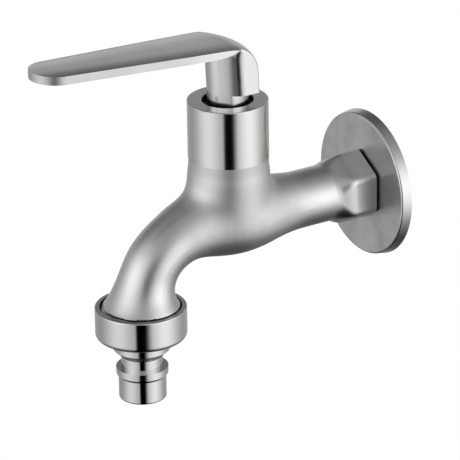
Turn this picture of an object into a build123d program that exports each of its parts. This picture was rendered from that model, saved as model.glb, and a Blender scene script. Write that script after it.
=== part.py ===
from build123d import *
import math
import os

# Wall-mounted garden tap with a quarter-turn lever and a hose union.
# Millimetres. The origin is the centre of the wall face on the inlet's axis. The tap stands
# out from the wall along -Y, +Z is up, and X = 0 is its plane of symmetry.

os.makedirs("parts", exist_ok=True)

# Fits and gaps
running_gap = 0.08
thread_gap = 0.08
disc_gap = 0.1
face_gap = 0.3

# Reach of the barrel's axis from the wall, and of the spout's axis from the barrel's
barrel_reach = 56.6
spout_run = 35.3

# Wall flange, a pressed dish
flange_r = 25.3
flange_taper = 0.65
flange_depth = 3.7
flange_wall = 1.2
flange_edge_r = 0.8

# Inlet: G1/2 thread, shoulder that carries the flange, hexagon and tube
inlet_thread_r = 10.48
inlet_thread_length = 8.0
thread_chamfer = 0.9
shoulder_step = 0.42
hexagon_flats = 22.0
hexagon_corner_r = 2.4
hexagon_length = 7.2
hexagon_blend = 9.4
hexagon_blend_steps = 6
hexagon_sink = 0.1
hexagon_setback = 0.7
inlet_tube_r = 9.75
inlet_wall = 2.75

# Belly under the barrel, half sizes of its oval, and how far the tube swells towards it
belly_half_width = 13.8
belly_half_height = 12.45
belly_run = 28.0
belly_steps = 6

# Spout: radius, place and fall of the tube at each station after the belly
neck_r = 11.6
neck_reach = 9.4
neck_tilt = 4
throat_r = 9.75
throat_reach = 15.1
throat_drop = 2.2
throat_tilt = 24
bend_r = 9.45
bend_reach = 4.9
bend_drop = 10.2
bend_tilt = 52
lip_r = 10.8
lip_reach = 1.9
lip_drop = 19.2
lip_tilt = 74
spout_wall = 2.6

# Spout mouth: G3/4 thread
mouth_drop = 23.6
mouth_thread_r = 13.2
mouth_thread_length = 4.8
mouth_step = 0.12
mouth_wall = 3.7

# Barrel and seat
barrel_r = 13.4
barrel_wall = 2.92
barrel_top = 22.25
front_blend_r = 8.0
rear_blend_r = 1.6
seat_level = 1.5
seat_port_r = 5.0
port_depth = 7.3
port_wall = 0.3
dip_start = 17.6
outlet_start_r = 5.95
outlet_start_reach = 3.4
outlet_start_level = 7.5
outlet_start_tilt = 30

# Bonnet cover
cover_proud = 0.15
cover_height = 19.95
cover_top_wall = 2.6
cover_hole_gap = 1.5
cover_edge_r = 0.3

# Headwork housing
chamber_gap = 1.58
cage_wall = 1.2
cage_foot_gap = 0.6
housing_thread_length = 10.0
housing_ledge = 1.04
housing_flange_height = 6.0
housing_hexagon_flats = 17.0
housing_hexagon_height = 4.25
seal_ring_height = 1.0
window_angle = 80

# Seal, discs and washers, each by its own height
seat_seal_height = 2.5
seal_support_wall = 0.9
fixed_disc_height = 3.0
moving_disc_height = 3.0
stem_flange_height = 2.6
thrust_washer_height = 0.6
clip_washer_height = 0.6
clip_washer_r = 7.4
clip_height = 0.9
clip_r = 6.3
clip_opening_angle = 110
port_angle = 70
port_inner_r = 1.8
notch_angle = 80
tab_width = 2.4
drive_width = 3.0
drive_depth = 1.5

# Spindle
stem_r = 5.0
stem_flange_step = 1.2
stem_lip = 1.0
groove_r = 3.7
groove_width = 1.8
o_ring_section_r = 0.66
o_ring_gap = 0.02
lower_groove_lift = 4.8
upper_groove_lift = 13.8
clip_groove_r = 4.2
square_flats = 7.0
square_length = 14.6
lever_turn_angle = 90
stop_lug_angle = 60
stop_slack_angle = 2

# Lever, seen from above: the blade's outline is drawn tight round its tip, its middle and its
# broad root, and the neck's round its nose and its corners. The line where the top face
# starts to bend down is crowned, and the neck's back is crowned with it
lever_tip_r = 8.35
lever_tip_reach = 65.25
lever_middle_r = 10.5
lever_middle_reach = 20.0
lever_root_r = 10.95
lever_root_reach = 4.5
lever_nose_r = 5.5
lever_nose_reach = 1.5
lever_corner_r = 4.0
lever_corner_x = 5.2
lever_flank_start = 1.85
lever_flank_end = 5.0
lever_back = 8.6
lever_bend_crown_r = 14.0
lever_edge_r = 0.7

# Lever, seen from the side
lever_height = 17.35
lever_rise_angle = 3.0
lever_bend_r = 10.0
lever_lean_angle = 2.5
lever_foot_gap = 3.6
blade_tip_thickness = 2.95
blade_root_thickness = 2.6
blade_root_reach = 12.0
blade_end_reach = 1.35
skirt_r = 7.15
skirt_lift = 0.6

# Grub screw M5
grub_r = 2.5
grub_length = 4.6
grub_lift = 3.7
grub_key_flats = 2.5
grub_key_depth = 2.2

# Hose union
nut_wall = 2.12
nut_height = 10.9
nut_lip_height = 2.0
nut_mouth_step = 0.42
nut_mouth_depth = 1.4
nut_top_edge_r = 0.4
nut_bottom_edge_r = 1.8
nozzle_washer_height = 2.0
nozzle_collar_gap = 0.58
nozzle_collar_height = 2.0
nozzle_neck_r = 9.5
nozzle_neck_length = 6.2
nozzle_groove_r = 7.0
nozzle_groove_length = 4.0
nozzle_ring_r = 8.75
nozzle_ring_length = 2.3
nozzle_tip_r = 8.0
nozzle_tip_step = 0.1
nozzle_tip_length = 9.0
nozzle_taper_length = 0.9
nozzle_edge_r = 0.7
nozzle_bore_r = 5.5
nozzle_funnel = 2.5

# Radii that follow
shoulder_r = inlet_thread_r + shoulder_step
inlet_bore_r = inlet_tube_r - inlet_wall
mouth_r = mouth_thread_r - mouth_step
mouth_bore_r = mouth_thread_r - mouth_wall
chamber_r = barrel_r - barrel_wall
port_passage_r = seat_port_r - port_wall
housing_flange_r = chamber_r + housing_ledge
cover_r = barrel_r + cover_proud
cover_bore_r = housing_flange_r + thread_gap
cover_hole_r = skirt_r + cover_hole_gap
cage_r = chamber_r - chamber_gap
cage_bore_r = cage_r - cage_wall
disc_r = cage_bore_r - disc_gap
stem_bore_r = stem_r + running_gap
stem_flange_r = stem_r + stem_flange_step
lug_r = cage_bore_r - face_gap
nut_bore_r = mouth_thread_r + thread_gap
nut_r = nut_bore_r + nut_wall
nozzle_collar_r = nut_bore_r - nozzle_collar_gap
lever_crown_r = lever_bend_crown_r + lever_bend_r

# Places that follow, along the wall's normal and in height
barrel_y = -barrel_reach
spout_y = barrel_y - spout_run
hexagon_back = -flange_depth - hexagon_setback
hexagon_front = hexagon_back - hexagon_length
belly_start = barrel_y + belly_run

fixed_disc_bottom = seat_level + seat_seal_height
moving_disc_bottom = fixed_disc_bottom + fixed_disc_height
stem_flange_bottom = moving_disc_bottom + moving_disc_height
stem_flange_top = stem_flange_bottom + stem_flange_height
housing_shoulder = stem_flange_top + thrust_washer_height
housing_foot = seat_level + cage_foot_gap
housing_flange_bottom = barrel_top + seal_ring_height
housing_flange_top = housing_flange_bottom + housing_flange_height
housing_top = housing_flange_top + housing_hexagon_height
clip_bottom = housing_top + clip_washer_height
clip_top = clip_bottom + clip_height
stem_top = clip_top + stem_lip
square_top = stem_top + square_length
skirt_bottom = stem_top + skirt_lift
cover_top = barrel_top + cover_height
lever_foot = cover_top + lever_foot_gap
lever_top = lever_foot + lever_height

mouth_level = -mouth_drop
mouth_end = mouth_level - mouth_thread_length
nozzle_top = mouth_end - nozzle_washer_height
nozzle_collar_bottom = nozzle_top - nozzle_collar_height
nut_bottom = nozzle_collar_bottom - nut_lip_height
nut_top = nut_bottom + nut_height
nozzle_neck_bottom = nozzle_collar_bottom - nozzle_neck_length
nozzle_groove_top = nozzle_neck_bottom - (nozzle_neck_r - nozzle_groove_r)
nozzle_ring_top = nozzle_groove_top - nozzle_groove_length
nozzle_ring_bottom = nozzle_ring_top - nozzle_ring_length
nozzle_bottom = nozzle_ring_bottom - nozzle_tip_length

# Planes and axes: headwork and spout seen from above and in section
headwork = Plane(origin=(0, barrel_y, 0))
headwork_section = Plane(origin=(0, barrel_y, 0), x_dir=(0, 1, 0), z_dir=(1, 0, 0))
headwork_axis = Axis((0, barrel_y, 0), (0, 0, 1))
spout = Plane(origin=(0, spout_y, 0))
spout_section = Plane(origin=(0, spout_y, 0), x_dir=(0, 1, 0), z_dir=(1, 0, 0))
spout_axis = Axis((0, spout_y, 0), (0, 0, 1))
wall_side = Plane(origin=(0, 0, 0), x_dir=(1, 0, 0), z_dir=(0, 1, 0))


def across(y, z, tilt):
    """Plane across the tube at (y, z), where the tube falls by tilt degrees from level."""
    fall = math.radians(tilt)
    run = (0, -math.cos(fall), -math.sin(fall))
    under = (0, math.sin(fall), -math.cos(fall))
    return Plane(origin=(0, y, z), x_dir=under, z_dir=run)


def sector(outer, inner, angle, middle):
    """Sketch face of a ring sector of the given angle, centred on the direction middle."""
    with BuildSketch(mode=Mode.PRIVATE) as pie:
        with BuildLine():
            rim = CenterArc((0, 0), outer, middle - angle / 2, angle)
            Line(rim @ 1, (0, 0))
            Line((0, 0), rim @ 0)
        make_face()
        if inner > 0:
            Circle(inner, mode=Mode.SUBTRACT)
    return pie.sketch


def hull(discs):
    """Sketch face drawn tight round discs, each given as (radius, x, y)."""
    with BuildSketch(mode=Mode.PRIVATE) as outline:
        for radius, x, y in discs:
            with Locations((x, y)):
                Circle(radius)
        make_hull()
    return outline.sketch


def ease(share):
    """Growth from 0 to 1 that starts and ends level and straight."""
    return share**3 * (10 - 15 * share + 6 * share**2)


def neck_outline(back):
    """Sketch face of the neck: its nose, its front corners, and flanks that run to back."""
    discs = [(lever_nose_r, 0, -lever_nose_reach)]
    for side in (-1, 1):
        for place in (lever_flank_start, back - lever_corner_r):
            discs.append((lever_corner_r, side * lever_corner_x, place))
    return hull(discs)


def lever_level(reach, depth):
    """Point of the side view, depth under the lever's top face at reach from the axis."""
    rise = math.tan(math.radians(lever_rise_angle))
    return (-reach, lever_top + rise * reach - depth)


def foot_edge(edge, side):
    """True for the curved edge where the barrel meets the tube, on the given side of it."""
    place = edge.center()
    beside = side * (place.Y - barrel_y)
    outside = chamber_r < abs(place.X) or chamber_r < beside or edge.length > barrel_r
    return 0 < beside < 2 * barrel_r and outside and 0 < place.Z < barrel_top - rear_blend_r


# Tube and barrel, the casting before anything is cut into it
neck = across(barrel_y - neck_reach, 0, neck_tilt)
throat = across(spout_y + throat_reach, -throat_drop, throat_tilt)
bend = across(spout_y + bend_reach, -bend_drop, bend_tilt)
lip = across(spout_y + lip_reach, -lip_drop, lip_tilt)
mouth = across(spout_y, mouth_level, 90)
with BuildPart() as casting:
    with BuildSketch(across(hexagon_front, 0, 0)):
        Circle(inlet_tube_r)
    extrude(amount=hexagon_front - belly_start)
    for step in range(belly_steps + 1):
        growth = ease(step / belly_steps)
        height = inlet_tube_r + (belly_half_height - inlet_tube_r) * growth
        width = inlet_tube_r + (belly_half_width - inlet_tube_r) * growth
        with BuildSketch(across(belly_start - belly_run * step / belly_steps, 0, 0)):
            Ellipse(height, width)
    with BuildSketch(neck):
        Circle(neck_r)
    with BuildSketch(throat):
        Circle(throat_r)
    with BuildSketch(bend):
        Circle(bend_r)
    with BuildSketch(lip):
        Circle(lip_r)
    with BuildSketch(mouth):
        Circle(mouth_r)
    loft()
    with BuildSketch(headwork):
        Circle(barrel_r)
    extrude(amount=barrel_top)

# The blend round the barrel's foot is wide towards the spout and tight towards the wall
barrel_plane = Plane(origin=(0, barrel_y, 0), z_dir=(0, -1, 0))
with BuildPart() as front_half:
    add(casting.part)
    split(bisect_by=barrel_plane, keep=Keep.TOP)
    foot = front_half.edges().filter_by(lambda edge: foot_edge(edge, -1))
    fillet(foot, front_blend_r)
with BuildPart() as rear_half:
    add(casting.part)
    split(bisect_by=barrel_plane, keep=Keep.BOTTOM)
    foot = rear_half.edges().filter_by(lambda edge: foot_edge(edge, 1))
    fillet(foot, rear_blend_r)

# Spanner hexagon with a corner on top. In front of its flats it shrinks and rounds off until
# it sinks into the tube
with BuildPart() as hexagon:
    with BuildSketch(across(hexagon_back, 0, 0)):
        RegularPolygon(hexagon_flats / 2, 6, major_radius=False)
        fillet(vertices(), hexagon_corner_r)
    extrude(amount=hexagon_length)
with BuildPart() as hexagon_front_blend:
    for step in range(hexagon_blend_steps + 1):
        growth = ease(step / hexagon_blend_steps)
        half_flats = hexagon_flats / 2 + (inlet_tube_r - hexagon_sink - hexagon_flats / 2) * growth
        corner_r = hexagon_corner_r + (half_flats - hexagon_sink - hexagon_corner_r) * growth
        with BuildSketch(across(hexagon_front - hexagon_blend * step / hexagon_blend_steps, 0, 0)):
            RegularPolygon(half_flats, 6, major_radius=False)
            fillet(vertices(), corner_r)
    loft()

with BuildPart() as tap_body:
    add(front_half.part)
    add(rear_half.part)
    add(hexagon.part)
    add(hexagon_front_blend.part)
    # shoulder that carries the flange, and the threaded tail
    with BuildSketch(wall_side.offset(hexagon_back)):
        Circle(shoulder_r)
    extrude(amount=-hexagon_back)
    with BuildSketch(wall_side):
        Circle(inlet_thread_r)
    extrude(amount=inlet_thread_length)
    chamfer(tap_body.edges().group_by(Axis.Y)[-1], thread_chamfer)
    # mouth thread
    with BuildSketch(mouth):
        Circle(mouth_thread_r)
    extrude(amount=mouth_thread_length)
    # chamber for the headwork, and the port under its seat
    with BuildSketch(headwork.offset(seat_level)):
        Circle(chamber_r)
    extrude(amount=barrel_top - seat_level, mode=Mode.SUBTRACT)
    with BuildSketch(headwork.offset(seat_level - port_depth)):
        Circle(seat_port_r)
    extrude(amount=port_depth, mode=Mode.SUBTRACT)
    # inlet passage, dipping under the seat to a round end
    with BuildSketch(wall_side.offset(inlet_thread_length)):
        Circle(inlet_bore_r)
    extrude(amount=barrel_y + chamber_r + dip_start - inlet_thread_length, mode=Mode.SUBTRACT)
    with BuildSketch(across(barrel_y + chamber_r + dip_start, 0, 0)):
        Circle(inlet_bore_r)
    with BuildSketch(across(barrel_y + seat_port_r, seat_level - port_depth, 0)):
        Circle(port_passage_r)
    with BuildSketch(across(barrel_y, seat_level - port_depth, 0)):
        Circle(port_passage_r)
    loft(mode=Mode.SUBTRACT)
    with Locations((0, barrel_y, seat_level - port_depth)):
        Sphere(port_passage_r, mode=Mode.SUBTRACT)
    # outlet passage, from the chamber's front down to the mouth
    with BuildSketch(across(barrel_y - outlet_start_reach, outlet_start_level, outlet_start_tilt)):
        Circle(outlet_start_r)
    with BuildSketch(throat):
        Circle(throat_r - spout_wall)
    with BuildSketch(bend):
        Circle(bend_r - spout_wall)
    with BuildSketch(lip):
        Circle(lip_r - spout_wall)
    with BuildSketch(mouth.offset(mouth_thread_length)):
        Circle(mouth_bore_r)
    loft(mode=Mode.SUBTRACT)
tap_body.part.label = "tap_body"
export_step(tap_body.part, "parts/tap_body.step")

with BuildPart() as wall_flange:
    with BuildSketch(Plane.YZ):
        Polygon(
            (0, flange_r),
            (-flange_depth, flange_r - flange_taper),
            (-flange_depth, shoulder_r + running_gap),
            (flange_wall - flange_depth, shoulder_r + running_gap),
            (flange_wall - flange_depth, flange_r - flange_taper - flange_wall),
            (0, flange_r - flange_wall),
            align=None,
        )
    revolve(axis=Axis.Y)
    front_rim = wall_flange.edges().group_by(Axis.Y)[0].sort_by(SortBy.RADIUS)[-1]
    fillet(front_rim, flange_edge_r)
wall_flange.part.label = "wall_flange"
export_step(wall_flange.part, "parts/wall_flange.step")

with BuildPart() as bonnet_cover:
    with BuildSketch(headwork.offset(barrel_top)):
        Circle(cover_r)
    extrude(amount=cover_height)
    with BuildSketch(headwork.offset(barrel_top)):
        Circle(cover_bore_r)
    extrude(amount=cover_height - cover_top_wall, mode=Mode.SUBTRACT)
    with BuildSketch(headwork.offset(cover_top)):
        Circle(cover_hole_r)
    extrude(amount=-cover_height, mode=Mode.SUBTRACT)
    fillet(bonnet_cover.edges().group_by(Axis.Z)[-1], cover_edge_r)
bonnet_cover.part.label = "bonnet_cover"
export_step(bonnet_cover.part, "parts/bonnet_cover.step")

# Headwork housing: a cage for the discs, a threaded waist, the flange that takes the
# cover's thread, and a spanner hexagon
free_turn = stop_lug_angle + lever_turn_angle + stop_slack_angle
lug_middle = -90
free_middle = lug_middle + lever_turn_angle / 2
with BuildPart() as cartridge_housing:
    with BuildSketch(headwork.offset(housing_foot)):
        Circle(cage_r)
    extrude(amount=barrel_top - housing_thread_length - housing_foot)
    with BuildSketch(headwork.offset(barrel_top - housing_thread_length)):
        Circle(chamber_r - thread_gap)
    extrude(amount=housing_thread_length + seal_ring_height)
    with BuildSketch(headwork.offset(housing_flange_bottom)):
        Circle(housing_flange_r)
    extrude(amount=housing_flange_height)
    with BuildSketch(headwork.offset(housing_flange_top)):
        RegularPolygon(housing_hexagon_flats / 2, 6, major_radius=False)
    extrude(amount=housing_hexagon_height)
    # room for the discs and the stem's flange, and the stem's bore
    with BuildSketch(headwork.offset(housing_foot)):
        Circle(cage_bore_r)
    extrude(amount=housing_shoulder - housing_foot, mode=Mode.SUBTRACT)
    with BuildSketch(headwork.offset(housing_top)):
        Circle(stem_bore_r)
    extrude(amount=housing_shoulder - housing_top, mode=Mode.SUBTRACT)
    # windows that the moving disc opens into, towards the wall and towards the spout
    for middle in (-90, 90):
        with BuildSketch(headwork.offset(moving_disc_bottom)):
            add(sector(chamber_r, stem_r, window_angle, middle))
        extrude(amount=moving_disc_height, mode=Mode.SUBTRACT)
    # slots for the fixed disc's tabs
    with BuildSketch(headwork.offset(housing_foot)):
        Rectangle(2 * chamber_r, tab_width + 2 * disc_gap)
    extrude(amount=moving_disc_bottom - housing_foot, mode=Mode.SUBTRACT)
    # stop for the stem's lug
    with BuildSketch(headwork.offset(stem_flange_bottom + face_gap)):
        add(sector(cage_r, stem_flange_r + face_gap, 360 - free_turn, free_middle + 180))
    extrude(amount=stem_flange_height - face_gap)
cartridge_housing.part.label = "cartridge_housing"
export_step(cartridge_housing.part, "parts/cartridge_housing.step")

with BuildPart() as housing_seal_ring:
    with BuildSketch(headwork.offset(barrel_top)):
        Circle(housing_flange_r)
        Circle(chamber_r, mode=Mode.SUBTRACT)
    extrude(amount=seal_ring_height)
housing_seal_ring.part.label = "housing_seal_ring"
export_step(housing_seal_ring.part, "parts/housing_seal_ring.step")

with BuildPart() as seat_seal:
    with BuildSketch(headwork.offset(seat_level)):
        Circle(disc_r)
        Circle(seat_port_r + seal_support_wall, mode=Mode.SUBTRACT)
    extrude(amount=seat_seal_height)
seat_seal.part.label = "seat_seal"
export_step(seat_seal.part, "parts/seat_seal.step")

with BuildPart() as seal_support_ring:
    with BuildSketch(headwork.offset(seat_level)):
        Circle(seat_port_r + seal_support_wall)
        Circle(seat_port_r, mode=Mode.SUBTRACT)
    extrude(amount=seat_seal_height)
seal_support_ring.part.label = "seal_support_ring"
export_step(seal_support_ring.part, "parts/seal_support_ring.step")

# Ceramic discs: two ports in the fixed one, and two notches out to the rim in the moving
# one, which stand across the ports while the tap is shut
with BuildPart() as fixed_disc:
    with BuildSketch(headwork.offset(fixed_disc_bottom)):
        Circle(disc_r)
        Rectangle(2 * cage_r, tab_width)
        for middle in (-90, 90):
            add(sector(seat_port_r, port_inner_r, port_angle, middle), mode=Mode.SUBTRACT)
    extrude(amount=fixed_disc_height)
fixed_disc.part.label = "fixed_disc"
export_step(fixed_disc.part, "parts/fixed_disc.step")

with BuildPart() as moving_disc:
    with BuildSketch(headwork.offset(moving_disc_bottom)):
        Circle(disc_r)
        for middle in (0, 180):
            add(sector(chamber_r, port_inner_r, notch_angle, middle), mode=Mode.SUBTRACT)
    extrude(amount=moving_disc_height)
    with BuildSketch(headwork.offset(stem_flange_bottom)):
        Rectangle(drive_width, 2 * chamber_r)
    extrude(amount=-drive_depth, mode=Mode.SUBTRACT)
moving_disc.part.label = "moving_disc"
export_step(moving_disc.part, "parts/moving_disc.step")

with BuildPart() as thrust_washer:
    with BuildSketch(headwork.offset(stem_flange_top)):
        Circle(disc_r)
        Circle(stem_bore_r, mode=Mode.SUBTRACT)
    extrude(amount=thrust_washer_height)
thrust_washer.part.label = "thrust_washer"
export_step(thrust_washer.part, "parts/thrust_washer.step")

# Spindle: driving blade, flange with its stop lug, grooved stem and square
lower_groove = housing_shoulder + lower_groove_lift
upper_groove = housing_shoulder + upper_groove_lift
with BuildPart() as spindle:
    with BuildSketch(headwork.offset(stem_flange_bottom)):
        Circle(stem_flange_r)
        add(sector(lug_r, 0, stop_lug_angle, lug_middle))
    extrude(amount=stem_flange_height)
    with BuildSketch(headwork.offset(stem_flange_bottom)):
        Rectangle(drive_width - 2 * running_gap, 2 * stem_flange_r)
        Circle(stem_flange_r, mode=Mode.INTERSECT)
    extrude(amount=running_gap - drive_depth)
    with BuildSketch(headwork.offset(stem_flange_top)):
        Circle(stem_r)
    extrude(amount=stem_top - stem_flange_top)
    with BuildSketch(headwork.offset(stem_top)):
        Rectangle(square_flats, square_flats)
        Circle(stem_r, mode=Mode.INTERSECT)
    extrude(amount=square_length)
    for level in (lower_groove, upper_groove):
        with BuildSketch(headwork.offset(level - groove_width / 2)):
            Circle(stem_r + face_gap)
            Circle(groove_r, mode=Mode.SUBTRACT)
        extrude(amount=groove_width, mode=Mode.SUBTRACT)
    with BuildSketch(headwork.offset(clip_bottom)):
        Circle(stem_r + face_gap)
        Circle(clip_groove_r, mode=Mode.SUBTRACT)
    extrude(amount=clip_height, mode=Mode.SUBTRACT)
spindle.part.label = "spindle"
export_step(spindle.part, "parts/spindle.step")

# Stem seals, drawn as the stem's bore squeezes them
o_ring_centre_r = groove_r + o_ring_gap + o_ring_section_r
with BuildPart() as lower_o_ring:
    with BuildSketch(headwork_section):
        with Locations((o_ring_centre_r, lower_groove)):
            Circle(o_ring_section_r)
    revolve(axis=headwork_axis)
lower_o_ring.part.label = "lower_o_ring"
export_step(lower_o_ring.part, "parts/lower_o_ring.step")

with BuildPart() as upper_o_ring:
    with BuildSketch(headwork_section):
        with Locations((o_ring_centre_r, upper_groove)):
            Circle(o_ring_section_r)
    revolve(axis=headwork_axis)
upper_o_ring.part.label = "upper_o_ring"
export_step(upper_o_ring.part, "parts/upper_o_ring.step")

with BuildPart() as clip_washer:
    with BuildSketch(headwork.offset(housing_top)):
        Circle(clip_washer_r)
        Circle(stem_bore_r, mode=Mode.SUBTRACT)
    extrude(amount=clip_washer_height)
clip_washer.part.label = "clip_washer"
export_step(clip_washer.part, "parts/clip_washer.step")

with BuildPart() as spindle_clip:
    with BuildSketch(headwork.offset(clip_bottom)):
        add(sector(clip_r, clip_groove_r, 360 - clip_opening_angle, -90))
    extrude(amount=clip_height)
spindle_clip.part.label = "spindle_clip"
export_step(spindle_clip.part, "parts/spindle_clip.step")

# Lever: one bent form with a crowned back, from which the blade and its neck are cut. The
# blade's underside rises to meet the bend
past_tip = lever_tip_reach + 2 * lever_tip_r
lever_bend_width = 2 * (lever_root_r + lever_edge_r)
lever_lean = (0, -math.tan(math.radians(lever_lean_angle)), 1)
with BuildPart() as lever_bend:
    with BuildSketch(headwork.offset(lever_foot)):
        with Locations((0, lever_back - lever_crown_r)):
            Circle(lever_crown_r)
        Rectangle(lever_bend_width, 2 * lever_crown_r, mode=Mode.INTERSECT)
        Rectangle(lever_bend_width, past_tip, align=(Align.CENTER, Align.MAX))
    extrude(amount=2 * lever_height, dir=lever_lean, both=True)
    with BuildSketch(headwork_section):
        Polygon(
            lever_level(past_tip, 0),
            lever_level(-past_tip, 0),
            (past_tip, skirt_bottom),
            (-past_tip, skirt_bottom),
            align=None,
        )
    extrude(amount=2 * lever_crown_r, both=True, mode=Mode.INTERSECT)
    top_edges = lever_bend.faces().sort_by(Axis.Z)[-1].edges()
    fillet(top_edges.sort_by(lambda edge: edge.center().Y)[-1], lever_bend_r)
with BuildPart() as blade:
    add(lever_bend.part)
    with BuildSketch(headwork.offset(lever_foot)):
        add(
            hull(
                [
                    (lever_root_r, 0, -lever_root_reach),
                    (lever_middle_r, 0, -lever_middle_reach),
                    (lever_tip_r, 0, -lever_tip_reach),
                ]
            )
        )
    extrude(amount=2 * lever_height, mode=Mode.INTERSECT)
    with BuildSketch(headwork_section):
        with BuildLine():
            Polyline(
                lever_level(blade_root_reach, blade_root_thickness),
                lever_level(past_tip, blade_tip_thickness),
                lever_level(past_tip, -blade_tip_thickness),
                lever_level(-blade_end_reach, -blade_tip_thickness),
                lever_level(-blade_end_reach, 0),
            )
            Bezier(
                lever_level(-blade_end_reach, 0),
                lever_level(blade_root_reach / 2, blade_root_thickness),
                lever_level(blade_root_reach, blade_root_thickness),
            )
        make_face()
    extrude(amount=2 * lever_crown_r, both=True, mode=Mode.INTERSECT)
with BuildPart() as lever_neck:
    add(lever_bend.part)
    with BuildSketch(headwork.offset(lever_foot)):
        add(neck_outline(lever_crown_r))
    extrude(amount=2 * lever_height, dir=lever_lean, both=True, mode=Mode.INTERSECT)
    # skirt that goes down through the cover's hole
    with BuildSketch(headwork.offset(skirt_bottom)):
        Rectangle(2 * past_tip, 2 * past_tip)
        Circle(skirt_r, mode=Mode.SUBTRACT)
    extrude(amount=lever_foot - skirt_bottom, mode=Mode.SUBTRACT)
    flanks = [lever_neck.faces().sort_by(Axis.X)[side] for side in (0, -1)]
    flank_edges = [edge for flank in flanks for edge in flank.edges()]
    fillet([edge for edge in flank_edges if edge.center().Y > barrel_y + lever_flank_end], lever_edge_r)
with BuildPart() as lever_handle:
    add(blade.part)
    add(lever_neck.part)
    # square socket, and the screw's hole through the back
    with BuildSketch(headwork.offset(skirt_bottom)):
        Rectangle(square_flats + 2 * running_gap, square_flats + 2 * running_gap)
    extrude(amount=square_top - skirt_bottom, mode=Mode.SUBTRACT)
    with BuildSketch(Plane(origin=(0, barrel_y, lever_foot + grub_lift), z_dir=(0, 1, 0))):
        Circle(grub_r + thread_gap)
    extrude(amount=lever_back, mode=Mode.SUBTRACT)
lever_handle.part.label = "lever_handle"
export_step(lever_handle.part, "parts/lever_handle.step")

square_face = barrel_y + square_flats / 2
with BuildPart() as lever_grub_screw:
    with BuildSketch(Plane(origin=(0, square_face, lever_foot + grub_lift), z_dir=(0, 1, 0))):
        Circle(grub_r)
    extrude(amount=grub_length)
    with BuildSketch(
        Plane(origin=(0, square_face + grub_length, lever_foot + grub_lift), z_dir=(0, 1, 0))
    ):
        RegularPolygon(grub_key_flats / 2, 6, major_radius=False)
    extrude(amount=-grub_key_depth, mode=Mode.SUBTRACT)
lever_grub_screw.part.label = "lever_grub_screw"
export_step(lever_grub_screw.part, "parts/lever_grub_screw.step")

# Hose union: nut, washer and nozzle
with BuildPart() as hose_nut:
    with BuildSketch(spout.offset(nut_bottom)):
        Circle(nut_r)
    extrude(amount=nut_height)
    fillet(hose_nut.edges().group_by(Axis.Z)[-1], nut_top_edge_r)
    fillet(hose_nut.edges().group_by(Axis.Z)[0], nut_bottom_edge_r)
    with BuildSketch(spout.offset(nozzle_collar_bottom)):
        Circle(nut_bore_r)
    extrude(amount=nut_top - nozzle_collar_bottom, mode=Mode.SUBTRACT)
    with BuildSketch(spout.offset(nut_top)):
        Circle(nut_bore_r + nut_mouth_step)
    extrude(amount=-nut_mouth_depth, mode=Mode.SUBTRACT)
    with BuildSketch(spout.offset(nut_bottom)):
        Circle(nozzle_neck_r + face_gap)
    extrude(amount=nut_lip_height, mode=Mode.SUBTRACT)
hose_nut.part.label = "hose_nut"
export_step(hose_nut.part, "parts/hose_nut.step")

with BuildPart() as nozzle_washer:
    with BuildSketch(spout.offset(nozzle_top)):
        Circle(nozzle_collar_r)
        Circle(mouth_bore_r, mode=Mode.SUBTRACT)
    extrude(amount=nozzle_washer_height)
nozzle_washer.part.label = "nozzle_washer"
export_step(nozzle_washer.part, "parts/nozzle_washer.step")

with BuildPart() as hose_nozzle:
    with BuildSketch(spout_section):
        Polygon(
            (nozzle_bore_r + nozzle_funnel, nozzle_top),
            (nozzle_collar_r, nozzle_top),
            (nozzle_collar_r, nozzle_collar_bottom),
            (nozzle_neck_r, nozzle_collar_bottom),
            (nozzle_neck_r, nozzle_neck_bottom),
            (nozzle_groove_r, nozzle_groove_top),
            (nozzle_groove_r, nozzle_ring_top),
            (nozzle_ring_r, nozzle_ring_top),
            (nozzle_ring_r, nozzle_ring_bottom),
            (nozzle_tip_r + nozzle_tip_step, nozzle_ring_bottom - nozzle_taper_length),
            (nozzle_tip_r, nozzle_ring_bottom - nozzle_taper_length),
            (nozzle_tip_r, nozzle_bottom),
            (nozzle_bore_r, nozzle_bottom),
            (nozzle_bore_r, nozzle_top - nozzle_funnel),
            align=None,
        )
    revolve(axis=spout_axis)
    tip_rim = hose_nozzle.edges().group_by(Axis.Z)[0].sort_by(SortBy.RADIUS)[-1]
    fillet(tip_rim, nozzle_edge_r)
hose_nozzle.part.label = "hose_nozzle"
export_step(hose_nozzle.part, "parts/hose_nozzle.step")
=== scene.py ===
import math
import bmesh
import bpy
from mathutils import Matrix, Vector
from mathutils.bvhtree import BVHTree

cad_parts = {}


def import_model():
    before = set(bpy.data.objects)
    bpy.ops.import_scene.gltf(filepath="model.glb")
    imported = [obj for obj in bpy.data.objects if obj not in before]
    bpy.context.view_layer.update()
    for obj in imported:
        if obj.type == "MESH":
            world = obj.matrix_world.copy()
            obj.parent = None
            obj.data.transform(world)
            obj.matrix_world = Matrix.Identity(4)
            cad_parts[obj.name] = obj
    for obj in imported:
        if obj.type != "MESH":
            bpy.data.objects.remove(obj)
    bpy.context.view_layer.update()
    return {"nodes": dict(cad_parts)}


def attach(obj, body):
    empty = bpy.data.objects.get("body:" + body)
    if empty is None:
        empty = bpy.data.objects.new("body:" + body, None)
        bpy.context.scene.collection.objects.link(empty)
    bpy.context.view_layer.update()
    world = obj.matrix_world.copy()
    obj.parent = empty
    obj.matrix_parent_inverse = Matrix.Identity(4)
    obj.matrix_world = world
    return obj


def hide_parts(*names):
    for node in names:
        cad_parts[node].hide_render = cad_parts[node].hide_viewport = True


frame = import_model()

# Metres, in the frame of the tap: the wall is at y = 0, the spout points along -y, z is up.
# A pair in brackets is a range: what it names is 0 at the first number and 1 at the second.
BARREL_Y = -0.0566
SPOUT_Y = -0.0919

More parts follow.
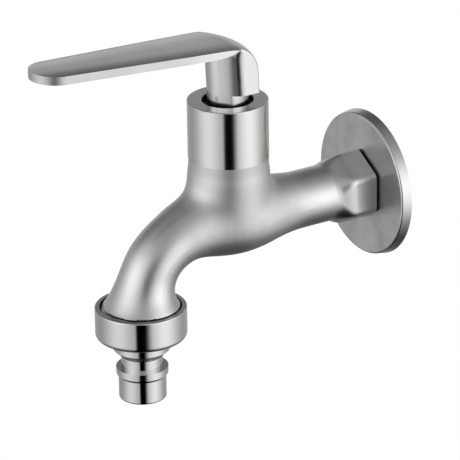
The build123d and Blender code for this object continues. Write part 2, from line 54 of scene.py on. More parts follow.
# Camera, at the photograph's angle
CAMERA_BEARING = math.radians(57.82)
CAMERA_HEIGHT = math.radians(22.79)
CAMERA_ROLL = math.radians(-0.90)
CAMERA_DISTANCE = 1.3
CAMERA_AIM = Vector((0, -0.05646, -0.00478))
CAMERA_SENSOR = 36.0
CAMERA_LENS = 304.3
CAMERA_NEAR = 0.01

# Light tent that the metal reflects. A panel has its bearing from the camera and its elevation
# in degrees, how sharply it ends, and its strength. The ranges measure a direction of length 1:
# how far it points up, to the right of the camera, or towards the camera.
PANELS = ((-58, 8, 4.8, 1.22), (63, 4, 4.6, 1.38), (180, -6, 7.0, 0.26))
ROOM_LOW_LIGHT, ROOM_LIGHT, ROOM_RISE = 0.06, 0.28, (-0.95, -0.35)
CEILING, CEILING_SHADE = (0.3, 0.85), 0.4
FRONT, BACK_TOP, BACK_TOP_SHADE = (-0.75, 0.1), (0.25, 0.42), 0.75
OPENING_LEFT, OPENING_RIGHT = (-0.25, -0.14), (0.17, 0.48)
OPENING_FRONT, OPENING_TOP = (-0.3, 0.0), (0.1, 0.6)

# Floor under the tap, well below the nozzle
FLOOR_Z = -0.16
FLOOR_SIZE = 6.0
FLOOR_WHITES = (0.95, 0.95, 0.95), (0.97, 0.97, 0.97)
FLOOR_GLOW = 0.06

# Colours
WHITE = (1, 1, 1, 1)
STEEL_LIGHT = (0.70, 0.695, 0.68)
STEEL_DARK = (0.62, 0.615, 0.60)
FLANGE_GREY = (0.72, 0.715, 0.70)
FLANGE_STAIN = (0.46, 0.45, 0.43)
# Colour of the painted shade in gaps and holes
PAINTED_SHADE = (0.012, 0.0115, 0.011)
BRASS_DULL = (0.70, 0.50, 0.22)
BRASS_CLEAN = (0.80, 0.62, 0.32)
RUBBERS = (0.018, 0.018, 0.018), (0.035, 0.035, 0.036)
PLASTICS = (0.80, 0.80, 0.76), (0.88, 0.88, 0.85)
CERAMICS = (0.86, 0.85, 0.80), (0.93, 0.92, 0.89)
BLACKED_STEELS = (0.05, 0.05, 0.05), (0.11, 0.11, 0.115)

# Bands of the casting painted dark with shade, in the gaps behind the hexagon and above
# the union nut: the range at the start of each, and the one at its end
TUBE_GAP = (-0.0046, -0.00445), (-0.0008, -0.0004)
MOUTH_GAP = (-0.0238, -0.0237), (-0.0234, -0.0232)

# Holes whose walls are painted dark with shade: radii at which the unshaded rim begins, and
# heights of the painted shade
NUT_RIM, NUT_SHADE = (0.01375, 0.0138), (-0.0330, -0.0326)
COVER_RIM, COVER_SHADE = (0.00868, 0.00872), (0.0300, 0.0304)

# Radii at which the flange is clear of the hexagon, inside which its face is painted dark with
# shade, and of its polished rim, radii at which the casting begins to be brushed, and heights
# of the painted shade on the headwork's brass
FLANGE_CLEAR = (0.0109, 0.0112)
FLANGE_RIM = (0.0243, 0.0247)
BRUSHED_CASTING = (0.014, 0.034)
HEADWORK_SHADE = (0.033, 0.037)

# Stretch of the brush lines, and of the smears and wiping marks, which all run long
CAST_BRUSHING, LEVER_BRUSHING = (1, 0.1, 1), (1, 0.04, 1)
SMEAR_STRETCH, WIPE_STRETCH = (1, 1, 0.5), (1, 1, 0.3)

# Relief of the finishes: its height in metres, and the shares of what it and the flange's
# stains are made of
CAST_BLAST, LEVER_BLAST = 0.000007, 0.000005
PIT_SHARE, BRUSH_SHARE = 0.55, 0.45
TOOL_MARKS = 0.0000018
SCORE_DEPTH = 0.6
FLANGE_GRAIN = 0.000006
GRAIN_SHARE, RING_SHARE = 0.6, 0.4
SPOT_SHARE, CLOUD_SHARE = 0.6, 0.4
BRASS_MARKS = 0.00001
RUBBER_SKIN = 0.00002
PLASTIC_FLOW = 0.00001
CERAMIC_LAP = 0.000003
STEEL_SCALE = 0.00001

# Roughness of the finishes, what their marks add to it, and what is taken off it (LESS)
CAST_ROUGH, CAST_COARSER = 0.34, 0.15
LEVER_ROUGH, LEVER_COARSER = 0.23, 0.2
CLOUD_ROUGH, SMEAR_ROUGH, SATIN_LESS = 0.06, 0.04, 0.05
COVER_ROUGH, UNION_ROUGH = 0.15, 0.11
WIPE_ROUGH, SCORE_ROUGH, TURNED_LESS = 0.05, 0.04, 0.02
FLANGE_ROUGH, RIM_LESS, STAIN_ROUGH = 0.32, 0.13, 0.1
BRASS_ROUGH, BRASS_STAIN_ROUGH, HOLE_SHADE_ROUGH = 0.22, 0.12, 0.25
RUBBER_ROUGH, BLOOM_ROUGH = 0.55, 0.15

# Lever blade, seen from above: half its width at the tip and how it spreads to the neck, how
# far its top falls away at the edges, how much its top faces up, and where the neck begins
BLADE_TIP_Y, BLADE_TIP_HALF, BLADE_SPREAD = -0.1219, 0.00835, 0.043
BLADE_FALL = 0.0006
BLADE_TOP = (0.3, 0.8)
BLADE_NECK = (-0.082, -0.070)

# Foot of the barrel, where the casting is rounded: how far out, down and up that goes, and
# over which lengths it begins
FOOT_REACH, FOOT_LOW, FOOT_HIGH = 0.027, -0.009, 0.0205
FOOT_FADE, FOOT_FADE_TOP = 0.006, 0.004
# Its longest edge, the length of slivers that are merged, the radius of the chamber inside it,
# and how often and where its crease is smoothed
FOOT_EDGE = 0.0014
FOOT_SLIVER = 0.0002
FOOT_CHAMBER_R = 0.0112
FOOT_SMOOTHINGS, FOOT_SMOOTH_SHARE = 3, 0.6
# Rays that find the casting's outside start off the surface and cross the whole casting
RAY_START, RAY_LENGTH = 0.001, 0.08
# Skin that the foot moves out to: how finely it is made, how often and how strongly smoothed,
# how far smoothing draws it in, and over which distance the two surfaces part
SKIN_VOXEL = 0.0005
SKIN_ROUNDS = 280
SMOOTHING = 0.5
SKIN_SHRINK = 0.0006
SKIN_PARTING = 0.0001

# Neck of the lever: where its diagonal sides are fuller than their flats, as they lean back
NECK_SIDE_X, NECK_SIDE_Y, NECK_SIDE_Z = 0.00607, BARREL_Y - 0.00307, 0.0458
NECK_LEAN = math.tan(math.radians(2.5))
NECK_SIDE_BEARING = math.radians(46.8)
NECK_FULLNESS, NECK_SPREAD = 0.00055, 0.0027
NECK_LEAST = NECK_FULLNESS / 50
NECK_EDGE = 0.0008
NECK_SOCKET_R = 0.0063
NECK_FADE, NECK_FADE_END = 0.0590, 0.0612

# Threads: the tail's is G1/2 and runs into the wall, the mouth's is G3/4 and runs down
TAIL_CORE, TAIL_CREST, TAIL_START, TAIL_LENGTH = 0.00932, 0.01047, 0.0002, 0.0072
MOUTH_CORE, MOUTH_CREST, MOUTH_TOP, MOUTH_LENGTH = 0.01206, 0.01319, -0.0237, 0.0043
# Just past the plain cylinders that stand in the threads' place
TAIL_PLAIN_R, TAIL_PLAIN_START = 0.0107, -0.000001
MOUTH_PLAIN_R, MOUTH_PLAIN_LOW, MOUTH_PLAIN_HIGH = 0.01325, -0.02841, -0.02359
# Steps in a turn, columns of points round the ridge, half its width at its foot and crest in
# pitches, how far its foot is sunk into the core, and the share of its length that runs out
THREAD_PITCH = 0.001814
THREAD_STEPS = 64
THREAD_COLUMNS = 5
THREAD_FOOT_HALF, THREAD_CREST_HALF = 0.46, 0.07
THREAD_SINK = 0.0003
THREAD_RUN_OUT = 0.1

# Points closer than this are merged, and long edges are cut in so many rounds at most
MERGE = 0.000001
LONG_EDGE_ROUNDS = 5


class Field:
    """A socket in a node tree. Sums and products of fields add the Math nodes that work them
    out."""

    def __init__(self, tree, socket):
        self.tree = tree
        self.socket = socket

    def math(self, operation, *others):
        values = dict(enumerate((self,) + others))
        return self.tree.node("ShaderNodeMath", {"operation": operation}, values)

    def __add__(self, other):
        return self.math("ADD", other)

    def __mul__(self, other):
        return self.math("MULTIPLY", other)

    def __sub__(self, other):
        return self.math("SUBTRACT", other)

    def __rsub__(self, other):
        return self.tree.node("ShaderNodeMath", {"operation": "SUBTRACT"}, {0: other, 1: self})

    def __truediv__(self, other):
        return self.math("DIVIDE", other)

    __radd__ = __add__
    __rmul__ = __mul__

    def step(self, low, high):
        """0 where this field is at low, 1 where it is at high, smooth between."""
        values = {"Value": self, "From Min": low, "From Max": high}
        return self.tree.node("ShaderNodeMapRange", {"interpolation_type": "SMOOTHSTEP"}, values)

    def band(self, start, end):
        """0 before the range start, 1 between the two ranges, 0 again after the range end."""
        return self.step(*start) * (1 - self.step(*end))


def from_axis(first, second):
    """Distance from an axis, out of the two fields that are measured across it."""
    return (first * first + second * second).math("SQRT")


class Tree:
    """A node tree, and the one way in which nodes are added to it."""

    def __init__(self, nodes):
        self.nodes = nodes
        nodes.nodes.clear()

    def node(self, kind, settings=None, values=None, out=0):
        """A node of that kind: its settings, then a value or a link for each socket named."""
        made = self.nodes.nodes.new(kind)
        for name, setting in (settings or {}).items():
            setattr(made, name, setting)
        for key, value in (values or {}).items():
            if isinstance(value, Field):
                self.nodes.links.new(value.socket, made.inputs[key])
            else:
                made.inputs[key].default_value = value
        return Field(self, made.outputs[out]) if made.outputs else None

    def parts(self, vector):
        """The x, y and z of a vector field."""
        first = self.node("ShaderNodeSeparateXYZ", None, {0: vector})
        return [Field(self, output) for output in first.socket.node.outputs]


class Finish(Tree):
    """Node tree of one material, or of the world."""

    def __init__(self, owner):
        owner.use_nodes = True
        super().__init__(owner.node_tree)
        self.owner = owner

    def place(self, scale=(1, 1, 1)):
        """Object coordinates, each stretched by its own factor."""
        place = self.node("ShaderNodeTexCoord", out="Object")
        return self.node("ShaderNodeVectorMath", {"operation": "MULTIPLY"}, {0: place, 1: scale})

    def turned_place(self, axis_y):
        """Radius and height about the upright axis at y = axis_y, as a vector field."""
        x, y, z = self.parts(self.place())
        radius = from_axis(x, y - axis_y)
        return self.node("ShaderNodeCombineXYZ", None, {"X": radius, "Z": z})

    def noise(self, vector, scale, detail):
        """Noise between 0 and 1, with scale features per metre."""
        values = {"Vector": vector, "Scale": scale, "Detail": detail}
        return self.node("ShaderNodeTexNoise", None, values)

    def mix(self, amount, first, second):
        """Colour that goes from first to second with amount. Each is a colour or a field."""
        first, second = [colour if isinstance(colour, Field) else (*colour, 1)
                         for colour in (first, second)]
        values = {0: amount, 6: first, 7: second}
        return self.node("ShaderNodeMix", {"data_type": "RGBA"}, values, out=2)

    def bump(self, height, distance):
        """Normal of a surface that rises by height times distance, in metres."""
        values = {"Height": height, "Distance": distance, "Strength": 1.0}
        return self.node("ShaderNodeBump", None, values)

    def surface(self, values):
        """Ends the tree in one Principled shader."""
        shader = self.node("ShaderNodeBsdfPrincipled", None, values)
        self.node("ShaderNodeOutputMaterial", None, {"Surface": shader})
        return self.owner


def finish(name):
    return Finish(bpy.data.materials.new(name))


def blade_crown(f):
    """Height in metres of the lever blade's top, which falls away a little towards its edges,
    and where the blade's sides are, which are brushed more coarsely."""
    x, y, _ = f.parts(f.place())
    share = x.math("ABSOLUTE") / (BLADE_TIP_HALF + (y - BLADE_TIP_Y) * BLADE_SPREAD)
    normal = f.node("ShaderNodeNewGeometry", out="Normal")
    top = f.parts(normal)[2].step(*BLADE_TOP)
    sides = (1 - top) * (1 - y.step(*BLADE_NECK))
    return share * share * share * top * (-BLADE_FALL), sides


def barrel_blast(f):
    """No height, and where the casting's barrel and belly are, which are blasted but not
    brushed afterwards."""
    x, y, _ = f.parts(f.place())
    return None, 1 - from_axis(x, y - BARREL_Y).step(*BRUSHED_CASTING)


def satin_steel(name, brushing, roughness, coarser, blast, form):
    """Blasted and lightly brushed steel. brushing stretches the brush lines along one axis, and
    blast is the height in metres of the pits that the beads leave. form gives the height in
    metres of a larger relief, or None, and where the roughness is greater by coarser."""
    f = finish(name)
    grain = f.noise(f.place(), scale=2600.0, detail=3.0)
    lines = f.noise(f.place(brushing), scale=1500.0, detail=2.0)
    cloud = f.noise(f.place(), scale=55.0, detail=3.0)
    smear = f.noise(f.place(SMEAR_STRETCH), scale=160.0, detail=4.0).step(0.45, 0.75)
    height = grain * PIT_SHARE + lines * BRUSH_SHARE
    relief, coarse = form(f)
    if relief:
        height = height + relief * (1 / blast)
    _, y, z = f.parts(f.place())
    # Painted shade: the bands in the gaps behind the hexagon and above the union nut are painted
    # dark
    gap_shade = y.band(*TUBE_GAP) + z.band(*MOUTH_GAP)
    worn = cloud * CLOUD_ROUGH + smear * SMEAR_ROUGH + coarse * coarser
    return f.surface({
        "Base Color": f.mix(gap_shade, f.mix(cloud.step(0.3, 0.7), STEEL_DARK, STEEL_LIGHT), PAINTED_SHADE),
        "Metallic": 1.0,
        "Roughness": worn + (roughness - SATIN_LESS),
        "Normal": f.bump(height, blast),
    })


def turned_steel(name, axis_y, roughness, rim, shaded_heights):
    """Steel turned and polished about the upright axis at y = axis_y. Fine tool marks run round
    it, and a few deeper ones stand alone. Within the radii of rim, and above the heights of
    shaded_heights, it is painted dark with shade."""
    f = finish(name)
    place = f.turned_place(axis_y)
    marks = f.noise(place, scale=5200.0, detail=3.0)
    score = f.noise(place, scale=1700.0, detail=2.0).step(0.68, 0.74)
    wipe = f.noise(f.place(WIPE_STRETCH), scale=220.0, detail=4.0).step(0.4, 0.75)
    radius, _, z = f.parts(place)
    # Painted shade on the walls of the hole, inside the rim and above the shaded heights
    inside = (1 - radius.step(*rim)) * z.step(*shaded_heights)
    return f.surface({
        "Base Color": f.mix(inside, f.mix(score, STEEL_LIGHT, STEEL_DARK), PAINTED_SHADE),
        "Metallic": 1.0,
        "Roughness": wipe * WIPE_ROUGH + score * SCORE_ROUGH + (roughness - TURNED_LESS),
        "Normal": f.bump(marks - score * SCORE_DEPTH, TOOL_MARKS),
    })


def flange_steel():
    """Pressed sheet steel: a satin, stained face with faint rings, and a polished rim. Inside the
    hexagon's footprint the face is painted dark with shade.
    """
    f = finish("flange_steel")
    x, _, z = f.parts(f.place())
    radius = from_axis(x, z)
    rings = f.noise(f.node("ShaderNodeCombineXYZ", None, {"X": radius}), scale=2800.0, detail=2.0)
    grain = f.noise(f.place(), scale=2400.0, detail=3.0)
    spots = f.noise(f.place(), scale=110.0, detail=4.0).step(0.4, 0.7)
    clouds = f.noise(f.place(), scale=38.0, detail=2.0).step(0.4, 0.65)
    rim = radius.step(*FLANGE_RIM)
    stain = (spots * SPOT_SHARE + clouds * CLOUD_SHARE) * (1 - rim)
    colour = f.mix(rim, f.mix(stain, FLANGE_GREY, FLANGE_STAIN), STEEL_LIGHT)
    return f.surface({
        # Painted shade: the face is painted dark inside the hexagon's footprint
        "Base Color": f.mix(radius.step(*FLANGE_CLEAR), PAINTED_SHADE, colour),
        "Metallic": 1.0,
        "Roughness": FLANGE_ROUGH - rim * RIM_LESS + stain * STAIN_ROUGH,
        "Normal": f.bump(grain * GRAIN_SHARE + rings * RING_SHARE, FLANGE_GRAIN),
    })


def turned_brass():
    """Turned brass, painted dark with shade where it stands in the cover's hole, and rougher
    there.
    """
    f = finish("turned_brass")
    place = f.turned_place(BARREL_Y)
    marks = f.noise(place, scale=3000.0, detail=2.0)
    stain = f.noise(f.place(), scale=120.0, detail=3.0)
    # Painted shade: the brass above these heights, deep in the cover's hole, is painted dark
    hole_shade = f.parts(place)[2].step(*HEADWORK_SHADE)
    clean = f.mix(stain.step(0.3, 0.7), BRASS_DULL, BRASS_CLEAN)
    return f.surface({
        "Base Color": f.mix(hole_shade, clean, PAINTED_SHADE),
        "Metallic": 1.0,
        "Roughness": BRASS_ROUGH + stain * BRASS_STAIN_ROUGH + hole_shade * HOLE_SHADE_ROUGH,
        "Normal": f.bump(marks, BRASS_MARKS),
    })


def black_rubber():
    """Moulded rubber with a dull bloom."""
    f = finish("black_rubber")
    skin = f.noise(f.place(), scale=3500.0, detail=3.0)
    bloom = f.noise(f.place(), scale=200.0, detail=2.0)
    return f.surface({
        "Base Color": f.mix(bloom, *RUBBERS),
        "Roughness": RUBBER_ROUGH + bloom * BLOOM_ROUGH,
        "Normal": f.bump(skin, RUBBER_SKIN),
    })


def even_finish(name, colours, metallic, roughness, height, scale, detail):
    """A finish in which one grain moves the colour, the roughness and the surface. roughness is
    its least value, and how much the grain adds."""
    f = finish(name)
    grain = f.noise(f.place(), scale, detail)
    least, more = roughness
    return f.surface({
        "Base Color": f.mix(grain, *colours),
        "Metallic": metallic,
        "Roughness": least + grain * more,
        "Normal": f.bump(grain, height),
    })


def slip_plastic():
    return even_finish("slip_plastic", PLASTICS, metallic=0.0, roughness=(0.38, 0.1),
                       height=PLASTIC_FLOW, scale=400.0, detail=3.0)


def lapped_ceramic():
    return even_finish("lapped_ceramic", CERAMICS, metallic=0.0, roughness=(0.16, 0.08),
                       height=CERAMIC_LAP, scale=2500.0, detail=4.0)


def black_steel():
    return even_finish("black_steel", BLACKED_STEELS, metallic=0.9, roughness=(0.32, 0.14),
                       height=STEEL_SCALE, scale=900.0, detail=3.0)


def coat(mesh, material):
    """Gives a mesh its one finish."""
    mesh.materials.clear()
    mesh.materials.append(material)


def dress(material, *nodes):
    """Gives CAD nodes their finish."""
    for node in nodes:
        coat(frame["nodes"][node].data, material)


def eased(share):
    """0 up to 0, 1 from 1 on, smooth between."""
    share = min(max(share, 0.0), 1.0)
    return share * share * (3 - 2 * share)


def from_barrel_axis(point):
    return math.hypot(point.x, point.y - BARREL_Y)


def foot_share(point):
    """1 round the foot of the barrel, 0 away from it."""
    return (eased((FOOT_REACH - from_barrel_axis(point)) / FOOT_FADE)
            * eased((FOOT_HIGH - point.z) / FOOT_FADE_TOP)
            * eased((point.z - FOOT_LOW) / FOOT_FADE))


def smoothed_skin(work):
    """Search tree of a smoothed copy of a closed shape, whose hollows are filled a little."""
    mesh = bpy.data.meshes.new("skin_blank")
    work.to_mesh(mesh)
    carrier = bpy.data.objects.new("skin_blank", mesh)
    bpy.context.scene.collection.objects.link(carrier)
    remesh = carrier.modifiers.new("remesh", "REMESH")
    remesh.mode = "VOXEL"
    remesh.voxel_size = SKIN_VOXEL
    smooth = carrier.modifiers.new("smooth", "SMOOTH")
    smooth.factor = SMOOTHING
    smooth.iterations = SKIN_ROUNDS
    depsgraph = bpy.context.evaluated_depsgraph_get()
    skin = carrier.evaluated_get(depsgraph).to_mesh()
    points = [vertex.co.copy() for vertex in skin.vertices]
    tree = BVHTree.FromPolygons(points, [list(face.vertices) for face in skin.polygons])
    carrier.modifiers.clear()
    bpy.data.objects.remove(carrier)
    bpy.data.meshes.remove(mesh)
    return tree


def outside_points(work):
    """Points of the casting's outside near the barrel's foot. A ray from a point of the inside
    meets the wall that stands opposite."""
    work.normal_update()
    walls = BVHTree.FromBMesh(work)
    found = []
    for point in work.verts:
        if foot_share(point.co) > 0:
            start = point.co + point.normal * RAY_START
            if walls.ray_cast(start, point.normal, RAY_LENGTH)[0] is None:
                found.append(point)
    return found


def split_long_edges(work, longest, chosen):
    """Cuts the chosen edges in a few rounds, until none is longer than longest."""
    for _ in range(LONG_EDGE_ROUNDS):
        edges = [edge for edge in work.edges
                 if edge.calc_length() > longest
                 and chosen((edge.verts[0].co + edge.verts[1].co) / 2)]
        if not edges:
            break
        bmesh.ops.subdivide_edges(work, edges=edges, cuts=1)
        bmesh.ops.triangulate(work, faces=[face for face in work.faces if len(face.verts) > 3])


def outer_foot(place):
    return from_barrel_axis(place) >= FOOT_CHAMBER_R and foot_share(place) > 0


def foot_move(point, skin):
    """How a point of the casting's outside moves out towards the skin, and never inwards."""
    nearest = skin.find_nearest(point.co)[0]
    rise = (nearest - point.co).dot(point.normal) + SKIN_SHRINK
    outwards = (rise + math.hypot(rise, SKIN_PARTING)) / 2
    return point.normal * (foot_share(point.co) * outwards)


def round_foot(work):
    """Moves the casting's outside out to a smoothed skin where the barrel meets the tube and
    the spout. The solid's own fillet is narrower than the casting's."""
    skin = smoothed_skin(work)
    split_long_edges(work, FOOT_EDGE, outer_foot)
    bmesh.ops.remove_doubles(work, verts=outside_points(work), dist=FOOT_SLIVER)
    outer = outside_points(work)
    moves = [foot_move(point, skin) for point in outer]
    for point, move in zip(outer, moves):
        point.co += move
    for _ in range(FOOT_SMOOTHINGS):
        crease = [point for point in outer if foot_share(point.co) > FOOT_SMOOTH_SHARE]
        bmesh.ops.smooth_vert(work, verts=crease, factor=SMOOTHING,
                              use_axis_x=True, use_axis_y=True, use_axis_z=True)
    work.normal_update()
    shading = work.loops.layers.float_vector["shading"]
    for point in outer:
        share = foot_share(point.co)
        for corner in point.link_loops:
            corner[shading] = corner[shading].lerp(point.normal, share)


def thread_core(point):
    """Place of a point of the casting, once the plain cylinders that stand for the tail's and
    the mouth's threads have shrunk to the threads' cores."""
    x, y, z = point
    tail = math.hypot(x, z)
    if y > TAIL_PLAIN_START and TAIL_CORE < tail < TAIL_PLAIN_R:
        return Vector((x * TAIL_CORE / tail, y, z * TAIL_CORE / tail))
    mouth = math.hypot(x, y - SPOUT_Y)
    if MOUTH_PLAIN_LOW < z < MOUTH_PLAIN_HIGH and MOUTH_CORE < mouth < MOUTH_PLAIN_R:
        share = MOUTH_CORE / mouth
        return Vector((x * share, SPOUT_Y + (y - SPOUT_Y) * share, z))
    return point


def shape_casting(work):
    """Leaves the threads' cores, and rounds the barrel's foot."""
    for point in work.verts:
        point.co = thread_core(point.co)
    round_foot(work)


def neck_fullness(point):
    """How far and which way a point of the lever's neck stands out, and how that changes along
    x and y."""
    side = 1 if point.x > 0 else -1
    lean = NECK_LEAN * (point.z - NECK_SIDE_Z)
    away = Vector((point.x - side * NECK_SIDE_X, point.y - NECK_SIDE_Y + lean, 0))
    fade = 1 - eased((point.z - NECK_FADE) / (NECK_FADE_END - NECK_FADE))
    rise = NECK_FULLNESS * fade * math.exp(-away.length_squared / (2 * NECK_SPREAD ** 2))
    outward = Vector((side * math.sin(NECK_SIDE_BEARING), -math.cos(NECK_SIDE_BEARING), 0))
    return rise, outward, away * (-rise / NECK_SPREAD ** 2)


def neck_side(place):
    """Whether a place is on the fuller sides of the neck, outside its square socket."""
    return from_barrel_axis(place) > NECK_SOCKET_R and neck_fullness(place)[0] > NECK_LEAST


def fill_neck(work):
    """Rounds the diagonal sides of the lever's neck."""
    split_long_edges(work, NECK_EDGE, neck_side)
    shading = work.loops.layers.float_vector["shading"]
    for point in [point for point in work.verts if neck_side(point.co)]:
        rise, outward, slope = neck_fullness(point.co)
        for corner in point.link_loops:
            normal = Vector(corner[shading])
            turned = normal - slope * (outward.dot(normal) / (1 + outward.dot(slope)))
            corner[shading] = turned.normalized()
        point.co += outward * rise


def reshaped_copy(node, reshape, material):
    """Mesh of a CAD node, merged and reshaped, with its own shading kept and one finish."""
    mesh = frame["nodes"][node].data.copy()
    kept = mesh.attributes.new("shading", "FLOAT_VECTOR", "CORNER")
    for item, normal in zip(kept.data, mesh.corner_normals):
        item.vector = normal.vector
    work = bmesh.new()
    work.from_mesh(mesh)
    bmesh.ops.remove_doubles(work, verts=work.verts, dist=MERGE)
    reshape(work)
    work.to_mesh(mesh)
    work.free()
    normals = [item.vector.copy() for item in mesh.attributes["shading"].data]
    mesh.attributes.remove(mesh.attributes["shading"])
    mesh.normals_split_custom_set(normals)
    coat(mesh, material)
    return mesh


def thread_tree(material):
    """Geometry tree of one outer thread about the z axis: a ridge that climbs from z = 0, wide
    at its foot, flat on its crest, and run out to nothing at both ends. The columns of points
    round it are its lower foot, lower crest, upper crest, upper foot and lower foot again."""
    nodes = bpy.data.node_groups.new("outer_thread", "GeometryNodeTree")
    tree = Tree(nodes)
    nodes.interface.new_socket("Geometry", in_out="OUTPUT", socket_type="NodeSocketGeometry")
    for name in ("Core radius", "Crest radius", "Pitch", "Length", "Foot sink"):
        nodes.interface.new_socket(name, in_out="INPUT", socket_type="NodeSocketFloat")
    nodes.interface.new_socket("Steps", in_out="INPUT", socket_type="NodeSocketInt")
    inputs = tree.node("NodeGroupInput").socket.node.outputs
    core, crest, pitch, length, sink, steps = [Field(tree, socket) for socket in inputs[:6]]

    grid = tree.node("GeometryNodeMeshGrid", None, {
        "Size X": 1.0, "Size Y": 1.0, "Vertices X": steps, "Vertices Y": THREAD_COLUMNS})
    along, column, _ = tree.parts(tree.node("GeometryNodeInputPosition"))
    along = along + 0.5
    column = (column + 0.5) * (THREAD_COLUMNS - 1)
    raised = (column - 1.5).math("ABSOLUTE").math("LESS_THAN", 1.0)
    upper = (column - 2.5).math("ABSOLUTE").math("LESS_THAN", 1.0)
    run_out = along.band((0.0, THREAD_RUN_OUT), (1 - THREAD_RUN_OUT, 1.0))
    narrower = THREAD_FOOT_HALF - THREAD_CREST_HALF
    half = (pitch * THREAD_FOOT_HALF - raised * pitch * narrower) * run_out
    climb = along * length + (upper * 2 - 1) * half
    radius = core - sink + raised * (crest - core + sink) * run_out
    angle = along * length / pitch * math.tau
    place = tree.node("ShaderNodeCombineXYZ", None, {
        "X": radius * angle.math("COSINE"), "Y": radius * angle.math("SINE"), "Z": climb})
    ridge = tree.node("GeometryNodeSetPosition", None, {"Geometry": grid, "Position": place})
    ridge = tree.node("GeometryNodeMergeByDistance", None, {"Geometry": ridge, "Distance": MERGE})
    ridge = tree.node("GeometryNodeRealizeInstances", None, {"Geometry": ridge})
    ridge = tree.node("GeometryNodeSetMaterial", None, {"Geometry": ridge, "Material": material})
    tree.node("NodeGroupOutput", None, {0: ridge})
    return nodes


def thread(tree, core, crest, length, place):
    """Plain mesh of one thread: the tree's result, moved to where it sits."""
    sizes = {
        "Core radius": core, "Crest radius": crest, "Length": length,
        "Pitch": THREAD_PITCH, "Foot sink": THREAD_SINK,
        "Steps": int(length / THREAD_PITCH * THREAD_STEPS),
    }
    carrier = bpy.data.objects.new("thread_blank", bpy.data.meshes.new("thread_blank"))
    bpy.context.scene.collection.objects.link(carrier)
    modifier = carrier.modifiers.new("thread", "NODES")
    modifier.node_group = tree
    for item in tree.interface.items_tree:
        if item.in_out == "INPUT":
            modifier[item.identifier] = sizes[item.name]
    depsgraph = bpy.context.evaluated_depsgraph_get()
    mesh = bpy.data.meshes.new_from_object(carrier.evaluated_get(depsgraph))
    carrier.modifiers.clear()
    bpy.data.objects.remove(carrier)
    mesh.transform(place)
    return mesh


def threads(material):
    """The tail's and the mouth's threads, as one mesh."""
    tree = thread_tree(material)
    into_wall = Matrix.Translation((0, TAIL_START, 0)) @ Matrix.Rotation(-math.pi / 2, 4, "X")
    down = Matrix.Translation((0, SPOUT_Y, MOUTH_TOP)) @ Matrix.Rotation(math.pi, 4, "X")
    work = bmesh.new()
    work.from_mesh(thread(tree, TAIL_CORE, TAIL_CREST, TAIL_LENGTH, into_wall))
    work.from_mesh(thread(tree, MOUTH_CORE, MOUTH_CREST, MOUTH_LENGTH, down))
    bmesh.ops.recalc_face_normals(work, faces=work.faces)
    mesh = bpy.data.meshes.new("outer_threads")
    work.to_mesh(mesh)
    work.free()
    coat(mesh, material)
    return mesh


def piece(name, mesh, body):
    """A finished piece that moves with a body of the tap."""
    made = bpy.data.objects.new(name, mesh)
    bpy.context.scene.collection.objects.link(made)
    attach(made, body)
    return made


def tap_body():
    """The casting with its foot rounded, and the threads cut on its two ends."""
    material = satin_steel("cast_steel", CAST_BRUSHING, CAST_ROUGH, CAST_COARSER, CAST_BLAST,
                           barrel_blast)
    mesh = reshaped_copy("tap_body", shape_casting, material)
    casting = piece("tap_casting", mesh, "tap")
    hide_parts("tap_body")
    piece("outer_threads", threads(material), "tap")


def lever_handle():
    """The lever with its neck rounded."""
    material = satin_steel("lever_steel", LEVER_BRUSHING, LEVER_ROUGH, LEVER_COARSER,
                           LEVER_BLAST, blade_crown)
    mesh = reshaped_copy("lever_handle", fill_neck, material)
    lever = piece("forged_lever", mesh, "lever")
    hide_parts("lever_handle")


def carried_over_nodes():
    """The CAD nodes that keep their shape."""
    cover_steel = turned_steel("cover_steel", BARREL_Y, COVER_ROUGH, COVER_RIM, COVER_SHADE)
    union_steel = turned_steel("union_steel", SPOUT_Y, UNION_ROUGH, NUT_RIM, NUT_SHADE)
    dress(cover_steel, "bonnet_cover")
    dress(union_steel, "hose_nut", "hose_nozzle")
    dress(flange_steel(), "wall_flange")
    dress(turned_brass(), "cartridge_housing", "spindle")
    dress(black_rubber(), "housing_seal_ring", "seat_seal", "lower_o_ring", "upper_o_ring",
          "nozzle_washer")
    dress(slip_plastic(), "thrust_washer", "clip_washer", "seal_support_ring")
    dress(lapped_ceramic(), "fixed_disc", "moving_disc")
    dress(black_steel(), "spindle_clip", "lever_grub_screw")


def camera():
    """The photograph's camera. It looks down at the tap from in front and from its right."""
    level = math.cos(CAMERA_HEIGHT)
    back = Vector((math.sin(CAMERA_BEARING) * level, -math.cos(CAMERA_BEARING) * level,
                   math.sin(CAMERA_HEIGHT)))
    right = Vector((math.cos(CAMERA_BEARING), math.sin(CAMERA_BEARING), 0))
    turn = Matrix((right, back.cross(right), back)).transposed()
    data = bpy.data.cameras.new("camera")
    data.sensor_width = CAMERA_SENSOR
    data.lens = CAMERA_LENS
    data.clip_start = CAMERA_NEAR
    eye = bpy.data.objects.new("camera", data)
    place = Matrix.Translation(CAMERA_AIM + back * CAMERA_DISTANCE)
    eye.matrix_world = place @ turn.to_4x4() @ Matrix.Rotation(CAMERA_ROLL, 4, "Z")
    bpy.context.scene.collection.objects.link(eye)
    bpy.context.scene.camera = eye


def panel(side, ahead, height, bearing, elevation, sharpness, strength):
    """Light of a soft round panel, bearing degrees to the right of the camera."""
    level = math.cos(math.radians(elevation))
    facing = (side * (math.sin(math.radians(bearing)) * level)
              + ahead * (math.cos(math.radians(bearing)) * level)
              + height * math.sin(math.radians(elevation)))
    return ((facing - 1) * sharpness).math("EXPONENT") * strength


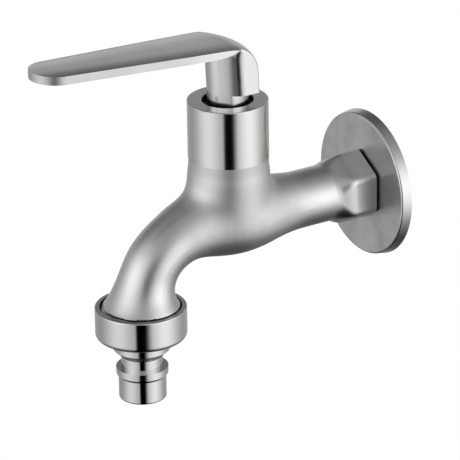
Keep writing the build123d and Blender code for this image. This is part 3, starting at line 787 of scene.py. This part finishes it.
def world():
    """White background, and a light tent that the metal reflects: a panel at either side of the
    camera, a dark opening between them where the camera stands, and a weak panel behind."""
    light = bpy.data.worlds.new("studio")
    bpy.context.scene.world = light
    f = Finish(light)
    x, y, height = f.parts(f.node("ShaderNodeTexCoord", out="Generated"))
    side = x * math.cos(CAMERA_BEARING) + y * math.sin(CAMERA_BEARING)
    ahead = x * math.sin(CAMERA_BEARING) - y * math.cos(CAMERA_BEARING)

    tent = height.step(*ROOM_RISE) * ROOM_LIGHT + ROOM_LOW_LIGHT
    tent = tent * (1 - height.step(*CEILING) * CEILING_SHADE)
    behind = 1 - ahead.step(*FRONT)
    tent = tent * (1 - behind * height.step(*BACK_TOP) * BACK_TOP_SHADE)
    for shape in PANELS:
        tent = tent + panel(side, ahead, height, *shape)
    opening = side.band(OPENING_LEFT, OPENING_RIGHT) * ahead.step(*OPENING_FRONT)
    tent = tent * (1 - opening * (1 - height.step(*OPENING_TOP)))

    rays = f.node("ShaderNodeLightPath", out="Is Glossy Ray")
    white = f.node("ShaderNodeBackground", None, {"Color": WHITE, "Strength": 1.0})
    studio = f.node("ShaderNodeBackground", None, {"Color": WHITE, "Strength": tent})
    shown = f.node("ShaderNodeMixShader", None, {0: rays, 1: white, 2: studio})
    f.node("ShaderNodeOutputWorld", None, {"Surface": shown})


def floor():
    """Pale floor that keeps the shadow. The metal reflects the tent in its place."""
    mesh = bpy.data.meshes.new("floor")
    half = FLOOR_SIZE / 2
    corners = [(-half, -half), (half, -half), (half, half), (-half, half)]
    mesh.from_pydata([(x, y, FLOOR_Z) for x, y in corners], [], [(0, 1, 2, 3)])
    plane = bpy.data.objects.new("floor", mesh)
    f = finish("floor_paint")
    speck = f.noise(f.place(), scale=40.0, detail=2.0)
    paint = f.surface({
        "Base Color": f.mix(speck, *FLOOR_WHITES),
        "Roughness": 0.9,
        "Specular IOR Level": 0.0,
        "Emission Color": WHITE,
        "Emission Strength": FLOOR_GLOW,
    })
    coat(mesh, paint)
    plane.visible_glossy = False
    bpy.context.scene.collection.objects.link(plane)


bpy.context.scene.view_settings.view_transform = "Standard"
camera()
world()
floor()
tap_body()
lever_handle()
carried_over_nodes()
